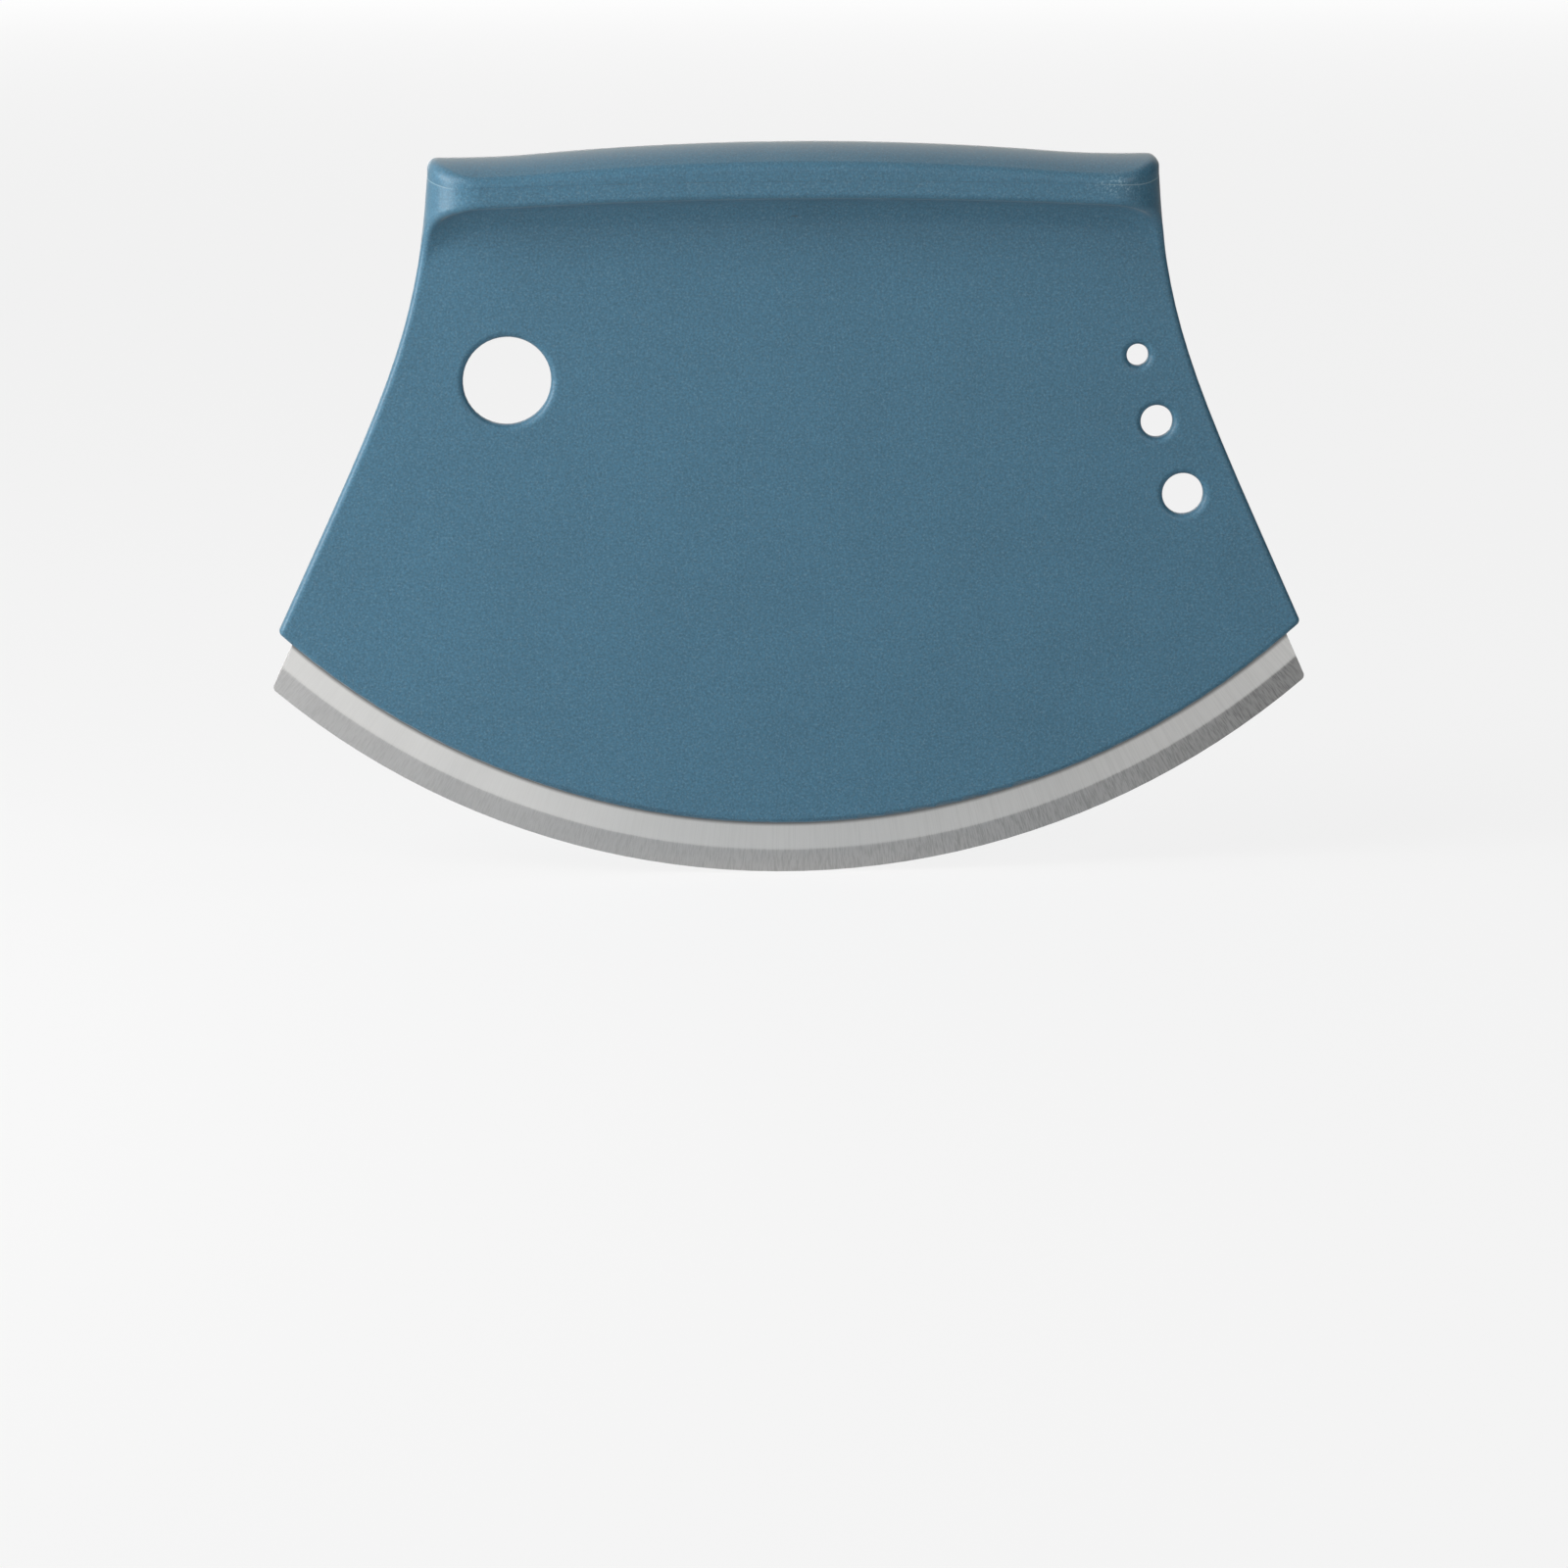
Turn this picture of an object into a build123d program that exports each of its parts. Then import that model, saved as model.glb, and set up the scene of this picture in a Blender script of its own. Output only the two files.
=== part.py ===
from build123d import *
import math
import os

# A mezzaluna: a steel arc blade moulded into a flat plastic handle with a thick grip bar along its top.
# X runs along the knife, Y through its thickness and Z up.
# The origin is the lowest point of the cutting edge.
# Lengths are in millimetres and angles in degrees.

# Blade
edge_arc_radius = 138.2
steel_below_handle = 8.85
blade_thickness = 1.0
bevel_width = 4.0
edge_land = 0.1
blade_end_inset = 3.1
blade_tip_rounding = 1.0

# Tang, the band of the blade that is hidden in the handle
tang_height = 22.0
tang_corner_rounding = 4.0
tang_hole_radius = 3.0
tang_hole_end_inset = 22.0
tang_hole_count = 9

# Handle plate and its flared sides
plate_thickness = 3.0
plastic_arc_radius = 132.0
low_half_width = 90.0
low_height = 42.3
flare_lean = 24.2
flare_low_pull = 45.1
flare_high_pull = 27.1
plate_edge_rounding = 1.0

# Grip bar
knife_height = 128.75
bar_half_length = 63.3
bar_depth = 19.0
bar_end_flat = 2.0
cap_height = 5.6
nose_height = 3.1
end_lean = 3.6
end_drop = 6.65

# Crest of the grip: a long hump that runs out level near the ends, crowned from front to back
crest_arc_radius = 514.0
crest_run_out = 13.0
crest_level_end = 6.0
crest_crown_radius = 17.5
cap_edge_rounding = 1.8
cap_reveal = 0.1

# Seam between the cap and the handle body
seam_arc_radius = 1620.0
seam_bend_run = 5.0
seam_end_rise = 0.8

# Recess that leaves the plate thin under the bar
lip_arc_radius = 997.0
recess_corner_radius = 14.0
recess_corner_inset = 9.5
recess_exit_angle = 45.0
recess_cove_radius = 5.0

# Holes through the plate: a large one to hang it by, and three graduated ones for stripping herbs
# Drops are from the lip above the plate and walls are the plastic left between a hole and the plate's side
hanging_hole_radius = 7.65
hanging_hole_drop = 32.45
hanging_hole_wall = 13.08
herb_hole_radii = (1.9, 2.8, 3.6)
herb_hole_drops = (28.85, 40.55, 53.4)
herb_hole_wall = 7.12
hole_rim_rounding = 1.2

# Inside of the cap, and the pegs and land that locate it
cap_wall = 1.8
rib_thickness = 1.6
peg_radius = 1.6
peg_boss_radius = 2.9
peg_length = 7.0
peg_end_inset = 13.0
peg_count = 5
land_height = 0.8
fit_clearance = 0.1

# Overrun of cutting solids past the faces that they cross
overrun = 5.0

# Places that follow from the sizes above
visible_arc_radius = edge_arc_radius - steel_below_handle
tang_arc_radius = visible_arc_radius - tang_height
seam_height = knife_height - cap_height
lip_height = seam_height - nose_height
half_depth = bar_depth / 2
half_plate = plate_thickness / 2
bar_end_rounding = (bar_depth - bar_end_flat) / 2
top_limit = knife_height + overrun
reach = low_half_width + edge_arc_radius
up_the_side = Vector(-math.sin(math.radians(flare_lean)), math.cos(math.radians(flare_lean)))
up_the_end = Vector(-math.sin(math.radians(end_lean)), math.cos(math.radians(end_lean)))
end_foot = Vector(bar_half_length, knife_height - end_drop)
low_corner = Vector(low_half_width, low_height)


def chain(points):
    """Straight edges through the points."""
    return [Line(first, second) for first, second in zip(points, points[1:])]


def right_half_face(edges):
    """A face in X and Z that is symmetric about the middle, from the edges of its right half."""
    half = make_face(edges + [Line(edges[-1] @ 1, edges[0] @ 0)])
    return half + mirror(half, Plane.YZ)


def through(face, half_thickness):
    """A face drawn in X and Z, as a solid that lies half before and half behind the middle plane."""
    return extrude(Plane.XZ.offset(-half_thickness) * face, amount=2 * half_thickness)


def disc_on(bottom, radius):
    """A round region that stands on a height in the middle, so that its lower side is an arc of the knife."""
    return Pos(0, bottom + radius) * Circle(radius)


def outside_disc(point, bottom, radius):
    """How far a point of a front view lies outside such a round region."""
    return math.hypot(point.X, point.Y - bottom - radius) - radius


def bent_arc(height, radius, half_span, end_run, end_rise):
    """The right half of a long arc that bends the other way at its end, as edges in X and Z."""
    fall_angle = math.asin(half_span / radius)
    knee = Vector(half_span, height - radius * (1 - math.cos(fall_angle)))
    end = knee + Vector(end_run, end_rise)
    arc = RadiusArc((0, height), knee, radius)
    bend = TangentArc(knee, end, tangent=(math.cos(fall_angle), -math.sin(fall_angle)))
    return [arc, bend]


def side_curve():
    """The flared stretch of the handle's right side, from the end of the grip down to the low corner."""
    high_handle = end_foot - up_the_end * flare_high_pull
    low_handle = low_corner + up_the_side * flare_low_pull
    return Bezier(end_foot, high_handle, low_handle, low_corner)


def inside_the_side(drop, wall, radius):
    """How far from the middle, and how high, a hole lies that leaves this wall to the side's curve."""
    height = lip_height - drop
    level = Line((0, height), (reach, height))
    side_point = side_curve().find_intersection_points(level)[0]
    return side_point.X - wall - radius, height


def side_outline():
    """The handle from the front, running on past the arc that trims it below and past the grip above."""
    end_top = end_foot + up_the_end * ((top_limit - end_foot.Y) / up_the_end.Y)
    tail = low_corner - up_the_side * ((low_height + overrun) / up_the_side.Y)
    edges = chain([(0, top_limit), end_top, end_foot]) + [side_curve()]
    edges += chain([low_corner, tail, (0, tail.Y)])
    return right_half_face(edges)


def is_side_edge(edge):
    """True for the long front and back edges of the handle's two sides."""
    centre = edge.center()
    on_front_or_back = abs(abs(centre.Y) - half_depth) < fit_clearance
    return on_front_or_back and fit_clearance - overrun < centre.Z < top_limit - fit_clearance


def handle_block():
    """The handle as deep as the grip all over, with rounded sides, trimmed by the plastic's lower arc."""
    block = through(side_outline(), half_depth)
    block = fillet([edge for edge in block.edges() if is_side_edge(edge)], bar_end_rounding)
    return block & through(disc_on(steel_below_handle, plastic_arc_radius), bar_depth)


def below_seam(lift):
    """Everything below the seam, or below a copy of the seam that is lifted."""
    half_span = bar_half_length - seam_bend_run
    edges = bent_arc(seam_height + lift, seam_arc_radius, half_span, seam_bend_run, seam_end_rise)
    end = edges[-1] @ 1
    edges += chain([end, (reach, end.Y), (reach, -overrun), (0, -overrun)])
    return through(right_half_face(edges), bar_depth)


def below_crest(lift):
    """Everything below the crowned crest of the grip, or below a copy of it that is lifted."""
    half_span = bar_half_length - crest_level_end - crest_run_out
    run_out_fall = crest_run_out * math.tan(math.asin(half_span / crest_arc_radius) / 2)
    right = bent_arc(knife_height + lift, crest_arc_radius, half_span, crest_run_out, -run_out_fall)
    end = right[-1] @ 1
    right.append(Line(end, end + Vector(bar_half_length, 0)))
    half_path = Plane.XZ * (Curve() + right)
    path = Wire(half_path.edges() + mirror(half_path, Plane.YZ).edges())
    half_width = half_depth + fit_clearance
    edge_fall = crest_crown_radius - math.sqrt(crest_crown_radius ** 2 - half_width ** 2)
    depth = cap_height + bar_depth
    near = (-half_width, -edge_fall)
    far = (half_width, -edge_fall)
    arc = ThreePointArc(near, (0, 0), far)
    sides = chain([far, (half_width, -depth), (-half_width, -depth), near])
    start = Vector(-end.X - bar_half_length, 0, end.Y)
    section = Plane(origin=start, x_dir=(0, 1, 0), z_dir=(1, 0, 0)) * make_face([arc] + sides)
    return sweep(section, path=path)


def recess_cutter():
    """What the recess takes from the front: a flat floor, a cove under the lip and rounded upper corners."""
    lip_centre = Vector(0, lip_height - lip_arc_radius)
    centre_x = bar_half_length - recess_corner_inset
    centre_gap = lip_arc_radius - recess_corner_radius
    centre = lip_centre + Vector(centre_x, math.sqrt(centre_gap ** 2 - centre_x ** 2))
    to_corner = (centre - lip_centre).normalized()
    lip_end = centre + to_corner * recess_corner_radius
    exit_angle = math.radians(recess_exit_angle)
    arc_end = centre + Vector(math.cos(exit_angle), math.sin(exit_angle)) * recess_corner_radius
    exit_way = Vector(math.sin(exit_angle), -math.cos(exit_angle))
    exit_end = arc_end + exit_way * bar_half_length
    edges = [
        RadiusArc((0, lip_height), lip_end, lip_arc_radius),
        TangentArc(lip_end, arc_end, tangent=(to_corner.Y, -to_corner.X)),
    ]
    edges += chain([arc_end, exit_end, (reach, exit_end.Y), (reach, -overrun), (0, -overrun)])
    floor = Plane.XZ.offset(half_plate) * right_half_face(edges)
    cutter = extrude(floor, amount=bar_depth)
    floor_edges = [edge for edge in cutter.edges() if abs(edge.center().Y + half_plate) < fit_clearance]
    cove_edges = [edge for edge in floor_edges if edge.center().Z > exit_end.Y + fit_clearance]
    return fillet(cove_edges, recess_cove_radius)


def across(places, radius, half_thickness):
    """Round bars through the thickness, one at each place in X and Z."""
    circles = [Pos(*place) * Circle(radius) for place in places]
    return through(Sketch() + circles, half_thickness)


def blade_outline():
    """The blade and its tang from the front: a band between two arcs, cut off along the handle's sides."""
    inward = Vector(up_the_side.Y, -up_the_side.X) * -blade_end_inset
    low = low_corner + inward - up_the_side * reach
    high = low_corner + inward + up_the_side * reach
    wedge = right_half_face(chain([(0, high.Y), high, low, (0, low.Y)]))
    tang_bottom = edge_arc_radius - tang_arc_radius
    band = (disc_on(0, edge_arc_radius) - disc_on(tang_bottom, tang_arc_radius)) & wedge
    band = Sketch() + [piece for piece in band.faces() if piece.center().Y < edge_arc_radius]
    corners = band.vertices()
    tips = [corner for corner in corners if outside_disc(corner, tang_bottom, tang_arc_radius) > tang_height]
    band = fillet(tips, blade_tip_rounding)
    corners = band.vertices()
    rest = [corner for corner in corners if outside_disc(corner, tang_bottom, tang_arc_radius) < tang_height]
    return fillet(rest, tang_corner_rounding)


def bevel_ring():
    """What grinding takes from the back of the blade along its edge."""
    half_blade = blade_thickness / 2
    half_land = edge_land / 2
    outside = half_blade + overrun
    points = [
        (half_blade, bevel_width), (half_land, 0), (half_land, -overrun),
        (outside, -overrun), (outside, bevel_width), (half_blade, bevel_width),
    ]
    return revolve(Plane.YZ * make_face(chain(points)), Axis((0, 0, edge_arc_radius), (0, 1, 0)))


def evenly(count, reach_each_way):
    """Evenly spaced values about zero, the outermost ones this far each way."""
    return [reach_each_way * (2 * number / (count - 1) - 1) for number in range(count)]


def tang_hole_places():
    """Places of the tang's holes, evenly spaced along the middle of the tang."""
    row_radius = visible_arc_radius - tang_height / 2
    last_angle = math.asin((low_half_width - tang_hole_end_inset) / row_radius)
    places = []
    for angle in evenly(tang_hole_count, last_angle):
        places.append((row_radius * math.sin(angle), edge_arc_radius - row_radius * math.cos(angle)))
    return places


def make_blade():
    """The steel blade, ground to an edge from both sides, with anchor holes through its tang."""
    blade = through(blade_outline(), blade_thickness / 2)
    ring = bevel_ring()
    blade = blade - ring - mirror(ring, Plane.XZ)
    return blade - across(tang_hole_places(), tang_hole_radius, bar_depth)


def is_low_corner(edge):
    """True for the two edges that run through the plate where its sides meet its lower arc."""
    start, end = edge @ 0, edge @ 1
    runs_through = abs(end.Y - start.Y) > edge.length - fit_clearance
    gap = outside_disc(Vector(start.X, start.Z), steel_below_handle, plastic_arc_radius)
    return runs_through and abs(gap) < fit_clearance


def with_round_hole(solid, place, radius):
    """The solid with a hole through its thickness at a place in X and Z, its front and back rims rounded."""
    bar = across([place], radius, bar_depth)
    holed = solid - bar
    return fillet(new_edges(solid, bar, combined=holed), hole_rim_rounding)


def bar_block(inset):
    """An upright block with the grip's outline from above, inset all round."""
    plan = RectangleRounded(2 * (bar_half_length - inset), bar_depth - 2 * inset, bar_end_rounding - inset)
    return extrude(Plane.XY.offset(lip_height) * plan, amount=top_limit - lip_height)


def peg_row(radius, bottom, top):
    """Upright round bars, one at each peg's place along the grip."""
    centres = evenly(peg_count, bar_half_length - peg_end_inset)
    circles = Sketch() + [Pos(centre, 0) * Circle(radius) for centre in centres]
    return extrude(Plane.XY.offset(bottom) * circles, amount=top - bottom)


def make_handle_body(blade):
    """The moulded plate and the lower half of the grip, with the blade's tang buried in it."""
    solid = handle_block() & below_seam(0)
    front = recess_cutter()
    back = mirror(front, Plane.XZ)
    body = solid - front - back
    rims = new_edges(solid, front, back, combined=body)
    corners = [edge for edge in body.edges() if is_low_corner(edge) and edge not in rims]
    body = fillet(rims + corners, plate_edge_rounding)
    land = bar_block(cap_wall + fit_clearance) & below_seam(land_height)
    body = body + (land & below_crest(-cap_wall - fit_clearance))
    body = body - peg_row(peg_radius + fit_clearance, seam_height - peg_length - fit_clearance, top_limit)
    x, z = inside_the_side(hanging_hole_drop, hanging_hole_wall, hanging_hole_radius)
    body = with_round_hole(body, (-x, z), hanging_hole_radius)
    for drop, radius in zip(herb_hole_drops, herb_hole_radii):
        body = with_round_hole(body, inside_the_side(drop, herb_hole_wall, radius), radius)
    return body - blade


def make_grip_cap():
    """The domed cap of the grip: a ribbed shell with pegs that seat in the handle body."""
    outside = bar_block(cap_reveal)
    crown = below_crest(0)
    dome = outside & crown
    cap = fillet(new_edges(outside, crown, combined=dome), cap_edge_rounding) - below_seam(0)
    below_ceiling = below_crest(-cap_wall)
    hollow = bar_block(cap_wall) & below_ceiling
    rib_bottom = below_seam(land_height + fit_clearance)
    bosses = peg_row(peg_boss_radius, lip_height, top_limit)
    spine = Pos(0, 0, top_limit) * Box(2 * bar_half_length, rib_thickness, 2 * bar_depth)
    cap = cap - (hollow - ((bosses + spine) - rib_bottom))
    pegs = peg_row(peg_radius, seam_height - peg_length, top_limit) & below_ceiling
    return cap + pegs


os.makedirs("parts", exist_ok=True)
blade_solid = make_blade()
pieces = {
    "blade": blade_solid,
    "handle_body": make_handle_body(blade_solid),
    "grip_cap": make_grip_cap(),
}
for name, piece in pieces.items():
    piece.label = name
    export_step(piece, f"parts/{name}.step")
    print(name, "solids", len(piece.solids()), "volume", round(piece.volume, 1), "valid", piece.is_valid)
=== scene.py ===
import bpy
import math
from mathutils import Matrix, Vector

# A mezzaluna that stands on its edge on a pale floor, seen as in the photograph.
# X runs along the knife, Y through its thickness and Z up. Lengths are in metres.
MM = 0.001

# Camera, solved from the knife's own arcs and holes in the photograph
PHOTO_SIZE_PX = 1600
METRES_PER_PX = 0.1715 * MM
CAMERA_AZIMUTH = -4.92
CAMERA_ELEVATION = 12.0
CAMERA_ROLL = 0.29
CAMERA_DISTANCE = 1.5
CAMERA_TARGET = (-1.2 * MM, 0.0, 15.65 * MM)
SENSOR_WIDTH = 36.0
CLIP_NEAR_SHARE = 0.01
CLIP_FAR_SHARE = 4

# Stage
FLOOR_SIZE = 40.0
FLOOR_COLOUR = (0.80, 0.80, 0.80)
FLOOR_SEEN_COLOUR = (0.10, 0.10, 0.10)
FLOOR_SEEN_GLOW = 0.845
AMBIENT = 0.10
MIRRORED = 1.0
STUDIO_COLOUR = (1.0, 0.975, 0.93, 1.0)
FLAG_COLOUR = (0.05, 0.05, 0.05)
FLAG_SIZE = (1.6, 1.2)
FLAG_X = 0.75
MATT_ROUGHNESS = 0.9
MATT_SPECULAR = 0.1

# The lamps, all aimed at one place: name, place, size and watts of each
LAMP_AIM = (0.0, 0.0, 0.06)
LAMPS = (
    ("key_left_high", (-0.60, -0.40, 0.75), (0.5, 0.5), 3.2),
    ("edge_left", (-0.50, -0.12, 0.20), (0.25, 0.3), 2.1),
    ("fill_front_low", (-0.15, -1.2, 0.15), (0.8, 0.3), 1.2),
    ("fill_right", (0.8, -0.8, 0.5), (0.6, 0.6), 5.5),
    ("back_top", (0.0, 1.0, 0.9), (1.6, 0.8), 0.8),
    ("fill_back", (0.0, 1.4, 0.12), (1.2, 0.2), 3.5),
)

# Blade places that the steel's finish and its painted joint shade follow
EDGE_RADIUS = 138.2 * MM
BEVEL_WIDTH = 4.0 * MM
BEVEL_BLEND = 0.5 * MM
PLASTIC_ARC_RADIUS = 132.0 * MM
PLASTIC_ARC_BOTTOM = 8.85 * MM

# Seam places that the painted highlight and the wear on the plastic follow: its middle height, its arc and
# its bends at the ends
SEAM_HEIGHT = 123.15 * MM
SEAM_RADIUS = 1620.0 * MM
SEAM_KNEE = 58.3 * MM
SEAM_BEND_RADIUS = 12.75 * MM

# Plastic finish, with a painted highlight on the seam's ends
PLASTIC_BLUE = (0.053, 0.163, 0.251)
PLASTIC_FLECK = (0.17, 0.30, 0.38, 1.0)
# Pale colour of the painted highlight on the seam's ends and of the worn specks
PLASTIC_HIGHLIGHT_AND_WORN = (0.33, 0.47, 0.54, 1.0)
GRAIN_SIZE = 0.4 * MM
GRAIN_LEVELS = (0.3, 0.7)
GRAIN_SWING = 0.8
GRAIN_BUMP = 0.15
GRAIN_BUMP_DEPTH = 0.1 * MM
FLECK_SIZE = 0.36 * MM
FLECK_DETAIL = 2.0
FLECK_LEVELS = (0.50, 0.74)
FLECK_AMOUNT = 0.38
CLOUD_SIZE = 18 * MM
CLOUD_SWING = 0.16
PLASTIC_ROUGHNESS = (0.40, 0.50)
SHEEN_WEIGHT = 0.25
SHEEN_ROUGHNESS = 0.4
SHEEN_TINT = (1.0, 0.83, 0.67, 1.0)
# The painted highlight along the seam: its half width and its strength
SEAM_HIGHLIGHT_HALF = 0.16 * MM
SEAM_HIGHLIGHT_AMOUNT = 0.6
# Where the painted highlight line on the seam starts to show and where it is full, at the right and at the
# left
SEAM_HIGHLIGHT_RIGHT = (50 * MM, 58 * MM)
SEAM_HIGHLIGHT_LEFT = (58 * MM, 62 * MM)
SCUFF_SIZE = 0.4 * MM
SCUFF_DETAIL = 3.0
SCUFF_LEVELS = (0.54, 0.66)
SCUFF_HALF = 2.6 * MM
SCUFF_CENTRE = 55.0 * MM
SCUFF_REACH = 6.0 * MM
SCUFF_AMOUNT = 0.6

# Steel finish, with painted shade at the joint and towards the right end
STEEL_FLAT = (0.65, 0.65, 0.645, 1.0)
STEEL_BEVEL = (0.53, 0.53, 0.53, 1.0)
# Dark colour of the grinding streaks, also used for the painted shade on the steel
STEEL_STREAK_AND_SHADE = (0.27, 0.27, 0.27, 1.0)
STEEL_ANISOTROPY = 0.6
STEEL_ROUGHNESS = (0.36, 0.42)
STREAK_ROUGHNESS = 0.06
STREAK_WIDTH = 0.2 * MM
STREAK_LENGTH = 7 * MM
STREAK_DETAIL = 3.0
STREAK_LEVELS = (0.38, 0.72)
STREAK_AMOUNTS = (0.12, 0.65)
# Along X the grinding streaks grow from a share at the left to full at the right; this growth is painted
# shade, darker towards the right
STREAK_SHADE_FADE = (-70 * MM, 90 * MM)
STREAK_SHADE_SHARES = (0.35, 1.0)
# Where along X the bevel is painted darker towards its right end, as painted shade
BEVEL_SHADE_FADE = (55 * MM, 95 * MM)
BEVEL_SHADE_AMOUNT = 0.4
STREAK_BUMP = 0.2
STREAK_BUMP_DEPTH = 0.05 * MM
STEEL_CLOUD_DETAIL = 2.0
STEEL_CLOUD_LEVELS = (0.3, 0.7)
# Dark band on the steel along the plastic's edge: painted shade of the joint, with some grime
JOINT_SHADE_AND_GRIME = (0.075, 0.08, 0.085, 1.0)
JOINT_SHADE_AND_GRIME_AMOUNT = 0.8
JOINT_SHADE_AND_GRIME_WIDTH = 0.8 * MM


def node(tree, kind, inputs, **settings):
    """A new node with its settings made and its inputs set or linked, by name or number."""
    made = tree.nodes.new(kind)
    for name, value in settings.items():
        setattr(made, name, value)
    for key, value in inputs.items():
        if isinstance(value, bpy.types.NodeSocket):
            tree.links.new(value, made.inputs[key])
        else:
            made.inputs[key].default_value = value
    return made


def maths(tree, operation, first, second=0.0):
    return node(tree, "ShaderNodeMath", {0: first, 1: second}, operation=operation).outputs[0]


def step(tree, value, low, high, low_result=0.0, high_result=1.0):
    """A soft step from one result to the other while the value goes from low to high."""
    inputs = {"Value": value, "From Min": low, "From Max": high}
    inputs.update({"To Min": low_result, "To Max": high_result})
    return node(tree, "ShaderNodeMapRange", inputs, interpolation_type="SMOOTHSTEP").outputs[0]


def mix(tree, amount, first, second):
    made = node(tree, "ShaderNodeMix", {0: amount, 6: first, 7: second}, data_type="RGBA")
    return made.outputs[2]


def swing(tree, value, amount):
    """A factor about one that moves by this amount while the value goes from zero to one."""
    made = node(tree, "ShaderNodeMath", {0: value, 1: amount, 2: 1 - amount / 2}, operation="MULTIPLY_ADD")
    return made.outputs[0]


def near(tree, value, half_width):
    """One where the value is zero, falling softly to nothing at this distance."""
    return step(tree, maths(tree, "ABSOLUTE", value), 0.0, half_width, 1.0, 0.0)


def distance_from(tree, axes, centre_height):
    """How far a place is from an axis through the thickness at this height, and how far below it."""
    fall = maths(tree, "SUBTRACT", centre_height, axes[2])
    square = maths(tree, "MULTIPLY", axes[0], axes[0])
    square = maths(tree, "ADD", square, maths(tree, "MULTIPLY", fall, fall))
    return maths(tree, "SQRT", square), fall


def noise(tree, place, size, detail=1.0):
    """Even noise whose lumps are about this size."""
    inputs = {"Vector": place, "Scale": 1 / size, "Detail": detail}
    return node(tree, "ShaderNodeTexNoise", inputs).outputs[0]


def relief(tree, height, strength, depth):
    """A shading normal from a height, for relief too fine to model."""
    inputs = {"Height": height, "Strength": strength, "Distance": depth}
    return node(tree, "ShaderNodeBump", inputs).outputs[0]


def new_material(name):
    """A material with only its shader and output, and the place on the piece in its own metres."""
    material = bpy.data.materials.new(name)
    material.use_nodes = True
    tree = material.node_tree
    tree.nodes.clear()
    shader = node(tree, "ShaderNodeBsdfPrincipled", {})
    node(tree, "ShaderNodeOutputMaterial", {"Surface": shader.outputs[0]})
    place = node(tree, "ShaderNodeTexCoord", {}).outputs["Object"]
    return material, tree, shader, place


def connect(tree, shader, **inputs):
    """Sets or links the shader's sockets, named with underscores for spaces."""
    for name, value in inputs.items():
        socket = shader.inputs[name.replace("_", " ")]
        if isinstance(value, bpy.types.NodeSocket):
            tree.links.new(value, socket)
        else:
            socket.default_value = value


def above_seam(tree, axes):
    """How far a place of the grip lies above its seam."""
    side = maths(tree, "ABSOLUTE", axes[0])
    past_knee = maths(tree, "MAXIMUM", maths(tree, "SUBTRACT", side, SEAM_KNEE), 0.0)
    rise = maths(tree, "DIVIDE", maths(tree, "MULTIPLY", past_knee, past_knee), 2 * SEAM_BEND_RADIUS)
    fall = maths(tree, "DIVIDE", maths(tree, "MULTIPLY", side, side), 2 * SEAM_RADIUS)
    seam = maths(tree, "ADD", maths(tree, "SUBTRACT", SEAM_HEIGHT, fall), rise)
    return maths(tree, "SUBTRACT", axes[2], seam)


def seam_highlight_and_wear(tree, place):
    """Where the grip is made pale: a painted highlight as a thin line on the seam's ends, and worn specks
    about its right end.
    """
    axes = node(tree, "ShaderNodeSeparateXYZ", {0: place}).outputs
    height = above_seam(tree, axes)
    right = step(tree, axes[0], *SEAM_HIGHLIGHT_RIGHT)
    left = step(tree, maths(tree, "MULTIPLY", axes[0], -1.0), *SEAM_HIGHLIGHT_LEFT)
    ends = maths(tree, "MAXIMUM", right, left)
    # Painted highlight: a pale line on the seam, shown only near the bar's ends
    line = maths(tree, "MULTIPLY", near(tree, height, SEAM_HIGHLIGHT_HALF), SEAM_HIGHLIGHT_AMOUNT)
    specks = step(tree, noise(tree, place, SCUFF_SIZE, SCUFF_DETAIL), *SCUFF_LEVELS)
    patch = near(tree, maths(tree, "SUBTRACT", axes[0], SCUFF_CENTRE), SCUFF_REACH)
    patch = maths(tree, "MULTIPLY", patch, near(tree, height, SCUFF_HALF))
    scuffs = maths(tree, "MULTIPLY", specks, maths(tree, "MULTIPLY", patch, SCUFF_AMOUNT))
    return maths(tree, "MAXIMUM", maths(tree, "MULTIPLY", ends, line), scuffs)


def plastic_material():
    """Satin moulded plastic with a fine grain, pale flecks, a faint cloudiness, a painted highlight on the
    seam's ends and worn specks by its right end.
    """
    material, tree, shader, place = new_material("grip_plastic_blue")
    grain = noise(tree, place, GRAIN_SIZE)
    fleck = step(tree, noise(tree, place, FLECK_SIZE, FLECK_DETAIL), *FLECK_LEVELS)
    cloud = noise(tree, place, CLOUD_SIZE)
    tone = maths(tree, "MULTIPLY", swing(tree, grain, GRAIN_SWING), swing(tree, cloud, CLOUD_SWING))
    blue = node(tree, "ShaderNodeVectorMath", {0: PLASTIC_BLUE, "Scale": tone}, operation="SCALE")
    colour = mix(tree, maths(tree, "MULTIPLY", fleck, FLECK_AMOUNT), blue.outputs[0], PLASTIC_FLECK)
    # Pale seam marks: a painted highlight on the seam's ends, plus worn specks
    colour = mix(tree, seam_highlight_and_wear(tree, place), colour, PLASTIC_HIGHLIGHT_AND_WORN)
    bump = relief(tree, grain, GRAIN_BUMP, GRAIN_BUMP_DEPTH)
    roughness = step(tree, grain, *GRAIN_LEVELS, *PLASTIC_ROUGHNESS)
    connect(tree, shader, Base_Color=colour, Roughness=roughness, Normal=bump)
    connect(tree, shader, Sheen_Weight=SHEEN_WEIGHT, Sheen_Roughness=SHEEN_ROUGHNESS, Sheen_Tint=SHEEN_TINT)
    return material


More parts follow.
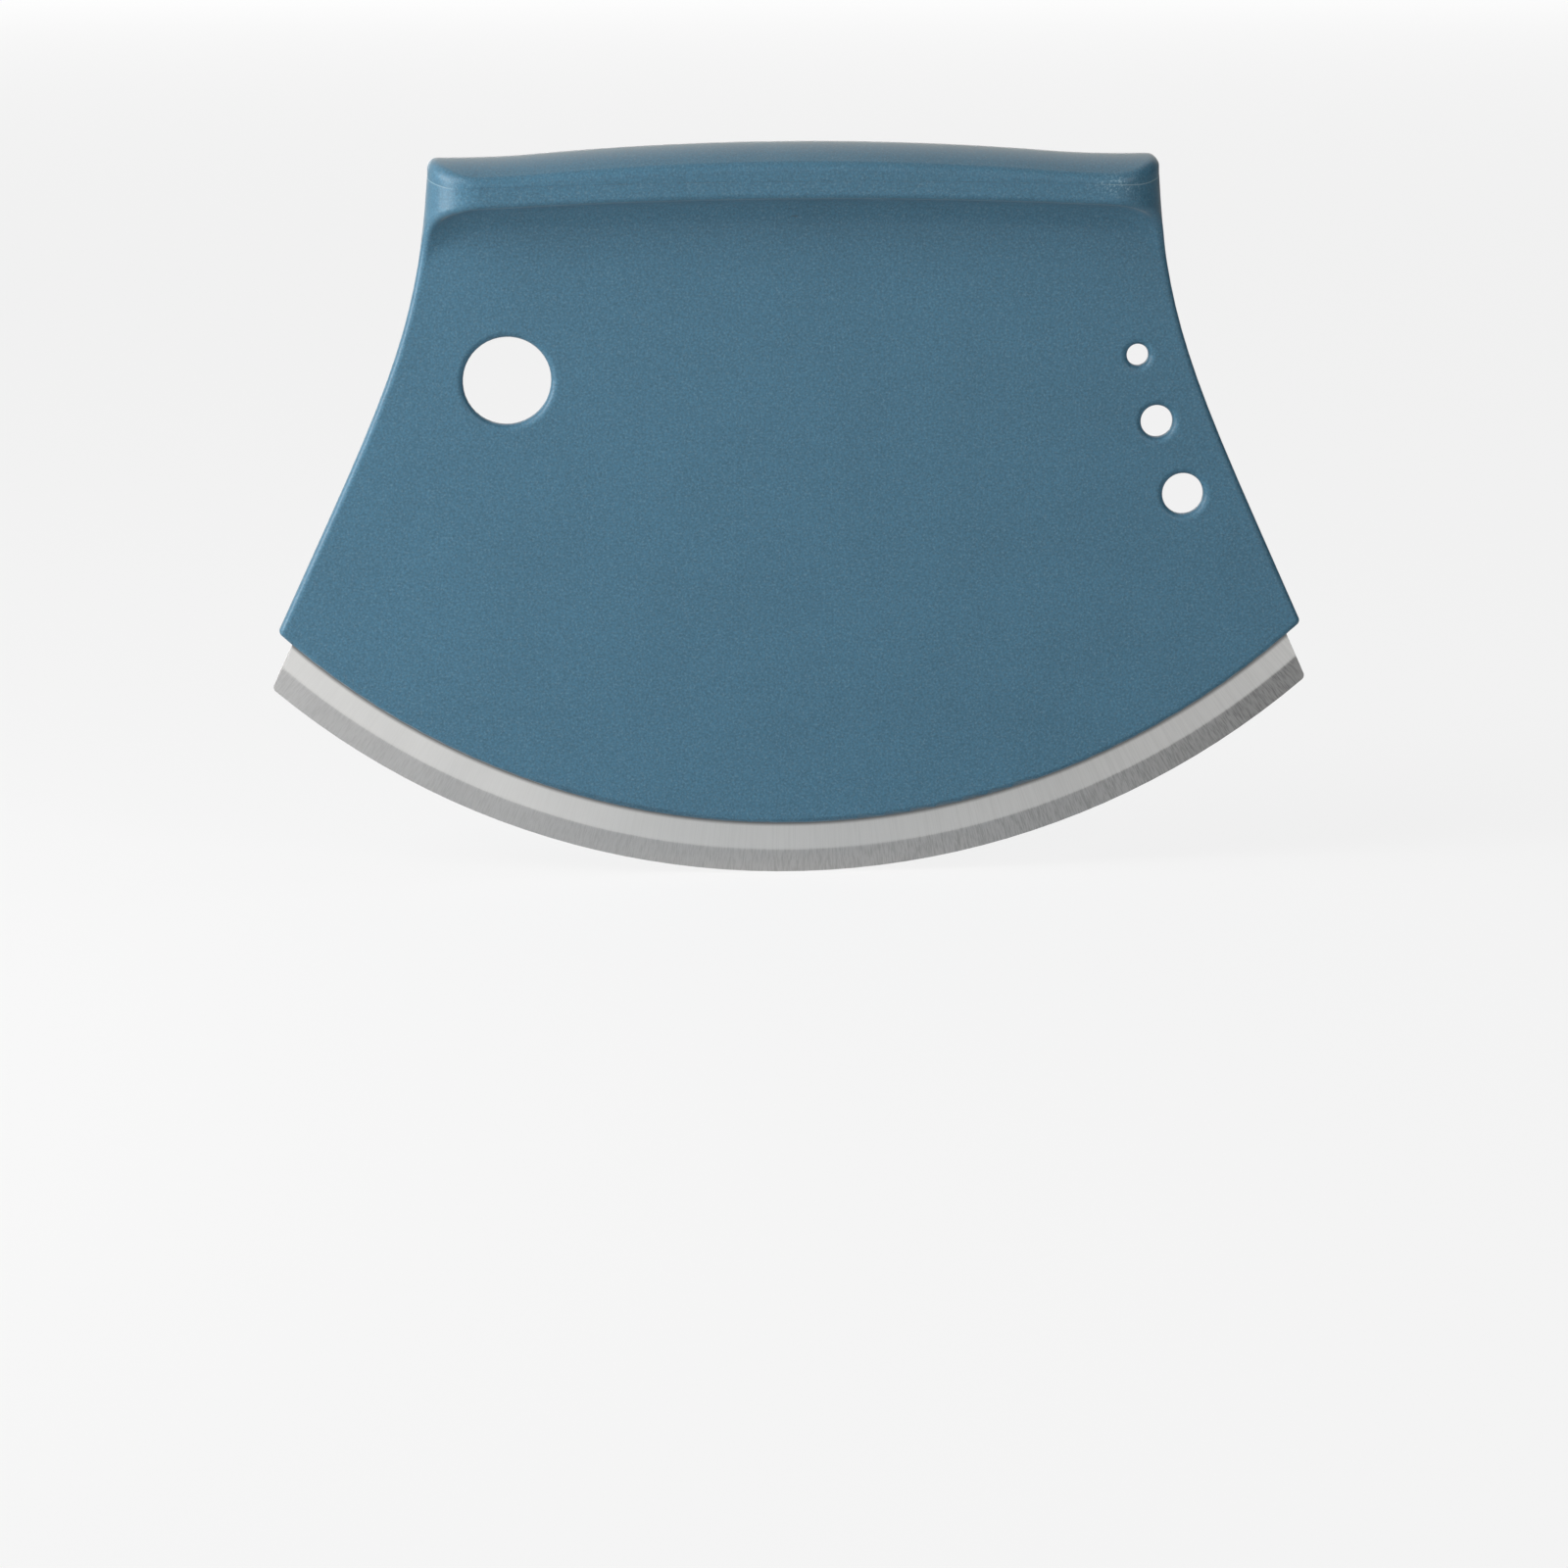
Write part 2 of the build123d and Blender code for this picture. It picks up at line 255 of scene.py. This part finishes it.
def steel_material():
    """Brushed stainless steel: flats with faint cross brushing, and a bevel ground across the edge."""
    material, tree, shader, place = new_material("brushed_steel")
    axes = node(tree, "ShaderNodeSeparateXYZ", {0: place}).outputs
    radius, below = distance_from(tree, axes, EDGE_RADIUS)
    along = maths(tree, "MULTIPLY", maths(tree, "ARCTAN2", axes[0], below), EDGE_RADIUS)
    across = maths(tree, "MULTIPLY", radius, STREAK_WIDTH / STREAK_LENGTH)
    streak_place = node(tree, "ShaderNodeCombineXYZ", {0: along, 1: axes[1], 2: across}).outputs[0]
    streak = noise(tree, streak_place, STREAK_WIDTH, STREAK_DETAIL)
    bevel_start = EDGE_RADIUS - BEVEL_WIDTH
    bevel = step(tree, radius, bevel_start - BEVEL_BLEND, bevel_start + BEVEL_BLEND)
    cloud = noise(tree, place, CLOUD_SIZE, STEEL_CLOUD_DETAIL)
    cloud = step(tree, cloud, *STEEL_CLOUD_LEVELS, *STEEL_ROUGHNESS)
    around = node(tree, "ShaderNodeCombineXYZ", {0: below, 2: axes[0]}).outputs[0]
    around = node(tree, "ShaderNodeVectorMath", {0: around}, operation="NORMALIZE").outputs[0]
    ground = mix(tree, bevel, STEEL_FLAT, STEEL_BEVEL)
    amount = step(tree, bevel, 0.0, 1.0, *STREAK_AMOUNTS)
    depth = maths(tree, "MULTIPLY", step(tree, streak, *STREAK_LEVELS), amount)
    # Painted shade: fewer streaks at the left and more at the right make the bevel darker towards the right
    depth = maths(tree, "MULTIPLY", depth, step(tree, axes[0], *STREAK_SHADE_FADE, *STREAK_SHADE_SHARES))
    # Painted shade: the bevel is darkened towards its right end
    bevel_shade = maths(tree, "MULTIPLY", bevel, step(tree, axes[0], *BEVEL_SHADE_FADE, 0.0, BEVEL_SHADE_AMOUNT))
    colour = mix(tree, maths(tree, "ADD", depth, bevel_shade), ground, STEEL_STREAK_AND_SHADE)
    # Painted shade and grime: the steel is darkened just where it leaves the plastic
    past_plastic = distance_from(tree, axes, PLASTIC_ARC_BOTTOM + PLASTIC_ARC_RADIUS)[0]
    past_plastic = maths(tree, "SUBTRACT", past_plastic, PLASTIC_ARC_RADIUS)
    joint_shade_and_grime = maths(tree, "MULTIPLY", near(tree, past_plastic, JOINT_SHADE_AND_GRIME_WIDTH), JOINT_SHADE_AND_GRIME_AMOUNT)
    colour = mix(tree, joint_shade_and_grime, colour, JOINT_SHADE_AND_GRIME)
    bump = relief(tree, streak, STREAK_BUMP, STREAK_BUMP_DEPTH)
    roughness = maths(tree, "ADD", cloud, maths(tree, "MULTIPLY", streak, STREAK_ROUGHNESS))
    connect(tree, shader, Base_Color=colour, Metallic=1.0, Roughness=roughness, Normal=bump)
    connect(tree, shader, Anisotropic=STEEL_ANISOTROPY, Tangent=around)
    return material


def give_material(piece, material):
    piece.data.materials.clear()
    piece.data.materials.append(material)


def add_camera():
    """The camera, placed by the photograph's azimuth, elevation, roll and distance."""
    azimuth = math.radians(CAMERA_AZIMUTH)
    elevation = math.radians(CAMERA_ELEVATION)
    back = Vector((
        math.sin(azimuth) * math.cos(elevation),
        -math.cos(azimuth) * math.cos(elevation),
        math.sin(elevation),
    ))
    data = bpy.data.cameras.new("photo_camera")
    data.sensor_width = SENSOR_WIDTH
    data.lens = SENSOR_WIDTH * CAMERA_DISTANCE / (METRES_PER_PX * PHOTO_SIZE_PX)
    data.clip_start = CAMERA_DISTANCE * CLIP_NEAR_SHARE
    data.clip_end = FLOOR_SIZE * CLIP_FAR_SHARE
    camera = bpy.data.objects.new("photo_camera", data)
    bpy.context.scene.collection.objects.link(camera)
    camera.location = Vector(CAMERA_TARGET) + back * CAMERA_DISTANCE
    turn = (-back).to_track_quat("-Z", "Y").to_matrix()
    right, up = turn.col[0].copy(), turn.col[1].copy()
    roll = math.radians(CAMERA_ROLL)
    turn.col[0] = right * math.cos(roll) + up * math.sin(roll)
    turn.col[1] = up * math.cos(roll) - right * math.sin(roll)
    camera.rotation_mode = "QUATERNION"
    camera.rotation_quaternion = turn.to_quaternion()
    bpy.context.scene.camera = camera


def add_lamp(name, place, size, watts):
    """A rectangular soft lamp aimed at the knife."""
    data = bpy.data.lights.new(name, "AREA")
    data.shape = "RECTANGLE"
    data.size, data.size_y = size
    data.energy = watts
    lamp = bpy.data.objects.new(name, data)
    bpy.context.scene.collection.objects.link(lamp)
    lamp.visible_camera = False
    lamp.location = place
    lamp.rotation_mode = "QUATERNION"
    lamp.rotation_quaternion = (Vector(LAMP_AIM) - Vector(place)).to_track_quat("-Z", "Y")


def add_sheet(name, corners, material):
    """A flat sheet of the stage through four corners."""
    mesh = bpy.data.meshes.new(name)
    mesh.from_pydata(corners, [], [(0, 1, 2, 3)])
    mesh.materials.append(material)
    sheet = bpy.data.objects.new(name, mesh)
    bpy.context.scene.collection.objects.link(sheet)
    return sheet


def matt_material(name, colour):
    """A matt sheet for the stage, with its node tree and shader."""
    material, tree, shader = new_material(name)[:3]
    connect(tree, shader, Base_Color=(*colour, 1.0))
    connect(tree, shader, Roughness=MATT_ROUGHNESS, Specular_IOR_Level=MATT_SPECULAR)
    return material, tree, shader


def floor_material():
    """A pale floor that looks evenly pale to the camera, but for the knife's soft shadow."""
    material, tree, shader = matt_material("pale_floor", FLOOR_COLOUR)
    matt = node(tree, "ShaderNodeBsdfDiffuse", {"Color": (*FLOOR_SEEN_COLOUR, 1.0)}).outputs[0]
    glow = node(tree, "ShaderNodeEmission", {"Strength": FLOOR_SEEN_GLOW}).outputs[0]
    seen = node(tree, "ShaderNodeAddShader", {0: matt, 1: glow}).outputs[0]
    camera_ray = node(tree, "ShaderNodeLightPath", {}).outputs["Is Camera Ray"]
    both = node(tree, "ShaderNodeMixShader", {0: camera_ray, 1: shader.outputs[0], 2: seen}).outputs[0]
    output = tree.get_output_node("ALL")
    tree.links.new(both, output.inputs["Surface"])
    return material


def add_floor():
    half = FLOOR_SIZE / 2
    corners = [(-half, -half, 0), (half, -half, 0), (half, half, 0), (-half, half, 0)]
    add_sheet("floor", corners, floor_material())


def add_flag():
    """A dark card, upright at the right, that the right side of the knife mirrors and no camera sees."""
    half = FLAG_SIZE[0] / 2
    top = FLAG_SIZE[1]
    corners = [(FLAG_X, -half, 0), (FLAG_X, half, 0), (FLAG_X, half, top), (FLAG_X, -half, top)]
    material = matt_material("flag_grey", FLAG_COLOUR)[0]
    flag = add_sheet("dark_flag", corners, material)
    flag.visible_camera = False


def add_world():
    """Even soft light that looks white where it is seen or mirrored."""
    world = bpy.data.worlds.new("studio")
    bpy.context.scene.world = world
    world.use_nodes = True
    tree = world.node_tree
    tree.nodes.clear()
    rays = node(tree, "ShaderNodeLightPath", {}).outputs
    seen = maths(tree, "MAXIMUM", rays["Is Camera Ray"], rays["Is Glossy Ray"])
    strength = step(tree, seen, 0.0, 1.0, AMBIENT, MIRRORED)
    background = node(tree, "ShaderNodeBackground", {"Color": STUDIO_COLOUR, "Strength": strength})
    node(tree, "ShaderNodeOutputWorld", {"Surface": background.outputs[0]})


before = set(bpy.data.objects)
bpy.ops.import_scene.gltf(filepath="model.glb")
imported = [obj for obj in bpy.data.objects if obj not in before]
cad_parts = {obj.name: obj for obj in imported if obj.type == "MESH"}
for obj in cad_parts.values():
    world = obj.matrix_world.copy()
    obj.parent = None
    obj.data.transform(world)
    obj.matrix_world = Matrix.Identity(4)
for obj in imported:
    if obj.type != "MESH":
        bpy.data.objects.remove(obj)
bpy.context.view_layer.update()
bpy.context.scene.view_settings.view_transform = "Standard"

plastic = plastic_material()
give_material(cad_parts["blade"], steel_material())
give_material(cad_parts["handle_body"], plastic)
give_material(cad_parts["grip_cap"], plastic)

add_floor()
add_flag()
add_world()
for lamp in LAMPS:
    add_lamp(*lamp)
add_camera()
